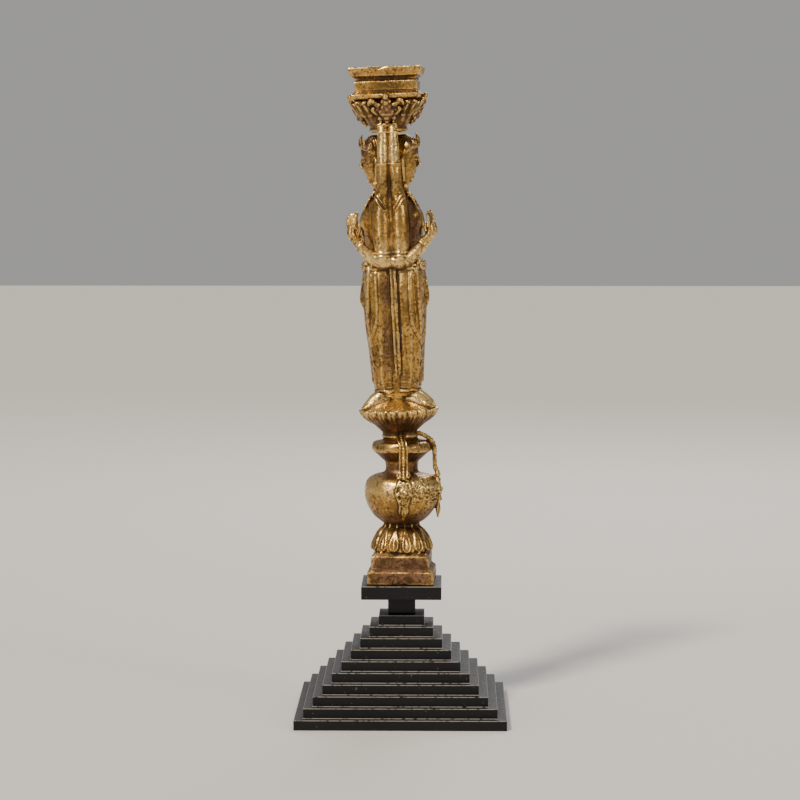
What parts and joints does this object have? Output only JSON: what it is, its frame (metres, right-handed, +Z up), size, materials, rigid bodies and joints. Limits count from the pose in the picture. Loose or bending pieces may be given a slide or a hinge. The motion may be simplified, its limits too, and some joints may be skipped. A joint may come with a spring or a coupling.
{
  "type": "column support",
  "caption": "Gilt copper column: back-to-back many-armed figures on a lotus and vase under a leafed square capital, on a stepped black stand.",
  "frame": {"origin": "middle of the stand's underside", "axes": "+Z up, +X towards the side one of the two figures faces, +Y away from the side that the front band of the vase hangs on"},
  "size_m": [0.141, 0.141, 0.4379],
  "materials": {
    "gilt_copper": "worn fire gilding over cast copper, darker in the recesses",
    "black_wood": "black painted wood with a low sheen"
  },
  "bodies": {
    "root": {"gilt_column": "gilt_copper", "stand_plate": "black_wood", "stand_post": "black_wood", "stand_base": "black_wood"}
  },
  "joints": []
}
